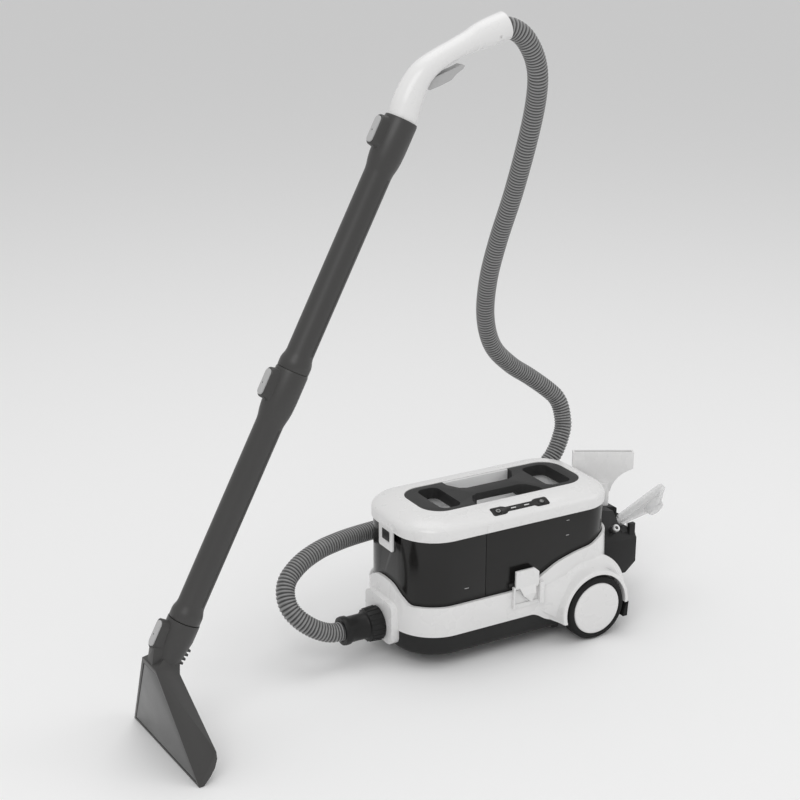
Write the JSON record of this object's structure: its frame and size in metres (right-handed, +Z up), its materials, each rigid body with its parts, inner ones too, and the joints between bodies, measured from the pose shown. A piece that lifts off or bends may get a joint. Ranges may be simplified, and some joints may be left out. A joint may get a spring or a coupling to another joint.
{
  "type": "carpet cleaner",
  "caption": "Wheeled carpet cleaner: domed cover with carry handle, smoky lift-out tanks, tool caddy, corrugated hose and a two-tube floor wand with trigger.",
  "frame": {"origin": "on the floor, under the middle of the machine and its standing wand, the free hose left out", "axes": "+Z up; +X from the hose port towards the tool caddy; +Y across the machine, away from the wand"},
  "size_m": [1.025, 0.4137, 1.0542],
  "materials": {
    "white_gloss": "gloss",
    "black_satin": "satin",
    "black_matte": "matte",
    "tyre_black": "matte",
    "steel": "satin",
    "dark_grey": "satin",
    "board_green": "matte",
    "smoky": "gloss",
    "smoky_grey": "gloss",
    "pale_grey": "satin",
    "lamp_white": "gloss",
    "clear": "gloss",
    "hose_grey": "satin"
  },
  "bodies": {
    "chassis": {"base_tray": "black_satin", "base_shell": "white_gloss", "port_socket": "black_satin", "rear_bumper": "black_satin", "cord_gland": "black_matte", "rear_axle": "steel", "motor_can": "dark_grey", "water_pump": "black_satin", "suction_elbow": "black_satin", "tank_deck": "black_satin", "control_board": "board_green", "latch_bracket": "white_gloss", "tool_caddy": "black_satin", "spray_tip": "steel", "clear_clip": "clear", "hose_connector": "black_satin", "hose": "hose_grey", "wand_handle": "white_gloss", "lower_tube": "dark_grey", "upper_tube": "dark_grey", "floor_tool": "dark_grey", "tool_window": "smoky_grey"},
    "near_wheel": {"near_tyre": "tyre_black", "near_hub": "white_gloss"},
    "far_wheel": {"far_tyre": "tyre_black", "far_hub": "white_gloss"},
    "near_caster": {"near_caster_fork": "black_satin"},
    "near_caster_roller": {"near_caster_wheel": "black_matte"},
    "far_caster": {"far_caster_fork": "black_satin"},
    "far_caster_roller": {"far_caster_wheel": "black_matte"},
    "fan": {"fan_impeller": "steel"},
    "tank_module": {"dirty_tank": "smoky", "clean_tank": "smoky", "inlet_pipe": "pale_grey"},
    "valve": {"tank_valve": "pale_grey"},
    "lid": {"tank_lid": "black_satin", "float_cage": "pale_grey"},
    "float": {"tank_float": "pale_grey"},
    "cap": {"filler_cap": "pale_grey"},
    "cover": {"top_cover": "white_gloss", "recess_tray": "pale_grey", "carry_handle": "dark_grey", "control_strip": "black_satin", "power_light": "lamp_white", "mode_light": "lamp_white"},
    "release": {"release_button": "black_satin"},
    "power_key": {"power_button": "black_satin"},
    "mode_key": {"mode_button": "black_satin"},
    "latch": {"tank_latch": "white_gloss"},
    "wide_nozzle": {"wide_tool": "white_gloss"},
    "small_nozzle": {"hand_nozzle": "clear"},
    "trigger": {"wand_trigger": "pale_grey"},
    "tool_release": {"tool_key": "pale_grey"},
    "lower_release": {"lower_key": "pale_grey"},
    "upper_release": {"upper_key": "pale_grey"}
  },
  "joints": [
    {"name": "near_wheel_spin", "type": "hinge", "parent": "chassis", "child": "near_wheel", "pos_m": [0.28273, -0.07938, 0.057], "axis": [0, 1, 0], "continuous": true},
    {"name": "far_wheel_spin", "type": "hinge", "parent": "chassis", "child": "far_wheel", "pos_m": [0.28273, 0.17062, 0.057], "axis": [0, 1, 0], "continuous": true},
    {"name": "near_caster_swivel", "type": "hinge", "parent": "chassis", "child": "near_caster", "pos_m": [0.01723, 0.01762, 0.025], "axis": [0, 0, 1], "continuous": true},
    {"name": "near_caster_roll", "type": "hinge", "parent": "near_caster", "child": "near_caster_roller", "pos_m": [0.02523, 0.01762, 0.011], "axis": [0, 1, 0], "continuous": true},
    {"name": "far_caster_swivel", "type": "hinge", "parent": "chassis", "child": "far_caster", "pos_m": [0.01723, 0.07362, 0.025], "axis": [0, 0, 1], "continuous": true},
    {"name": "far_caster_roll", "type": "hinge", "parent": "far_caster", "child": "far_caster_roller", "pos_m": [0.02523, 0.07362, 0.011], "axis": [0, 1, 0], "continuous": true},
    {"name": "fan_spin", "type": "hinge", "parent": "chassis", "child": "fan", "pos_m": [0.28723, 0.04562, 0.11], "axis": [0, 0, 1], "continuous": true},
    {"name": "tank_lift", "type": "slide", "parent": "chassis", "child": "tank_module", "axis": [0, 0, 1], "range_m": [0, 0.1]},
    {"name": "valve_lift", "type": "slide", "parent": "tank_module", "child": "valve", "axis": [0, 0, 1], "range_m": [0, 0.003], "stiffness_N_per_m": 300},
    {"name": "lid_lift", "type": "slide", "parent": "tank_module", "child": "lid", "axis": [0, 0, 1], "range_m": [0, 0.05]},
    {"name": "float_rise", "type": "slide", "parent": "lid", "child": "float", "axis": [0, 0, 1], "range_m": [0, 0.03]},
    {"name": "cap_turn", "type": "hinge", "parent": "lid", "child": "cap", "pos_m": [0.29723, 0.04562, 0.205], "axis": [0, 0, 1], "range_deg": [0, 90]},
    {"name": "cover_lift", "type": "slide", "parent": "lid", "child": "cover", "axis": [0, 0, 1], "range_m": [0, 0.06]},
    {"name": "release_press", "type": "slide", "parent": "cover", "child": "release", "axis": [1, 0, 0], "range_m": [0, 0.0025], "stiffness_N_per_m": 400},
    {"name": "power_press", "type": "slide", "parent": "cover", "child": "power_key", "axis": [0, 0.342, -0.9397], "range_m": [0, 0.0012], "stiffness_N_per_m": 400},
    {"name": "mode_press", "type": "slide", "parent": "cover", "child": "mode_key", "axis": [0, 0.342, -0.9397], "range_m": [0, 0.0012], "stiffness_N_per_m": 400},
    {"name": "latch_rock", "type": "hinge", "parent": "chassis", "child": "latch", "pos_m": [0.15523, -0.06488, 0.117], "axis": [1, 0, 0], "range_deg": [0, 7], "stiffness_Nm_per_rad": 0.3},
    {"name": "wide_tool_lift", "type": "slide", "parent": "chassis", "child": "wide_nozzle", "axis": [0, 0, 1], "range_m": [0, 0.07]},
    {"name": "hand_nozzle_pull", "type": "slide", "parent": "chassis", "child": "small_nozzle", "axis": [0.9511, 0, 0.309], "range_m": [0, 0.045]},
    {"name": "trigger_squeeze", "type": "hinge", "parent": "chassis", "child": "trigger", "pos_m": [-0.04777, -0.06838, 0.962], "axis": [0, -1, 0], "range_deg": [0, 6], "stiffness_Nm_per_rad": 0.6},
    {"name": "tool_key_press", "type": "slide", "parent": "chassis", "child": "tool_release", "axis": [0.887, 0, -0.4617], "range_m": [0, 0.003], "stiffness_N_per_m": 400},
    {"name": "lower_key_press", "type": "slide", "parent": "chassis", "child": "lower_release", "axis": [0.887, 0, -0.4617], "range_m": [0, 0.003], "stiffness_N_per_m": 400},
    {"name": "upper_key_press", "type": "slide", "parent": "chassis", "child": "upper_release", "axis": [0.887, 0, -0.4617], "range_m": [0, 0.003], "stiffness_N_per_m": 400}
  ]
}
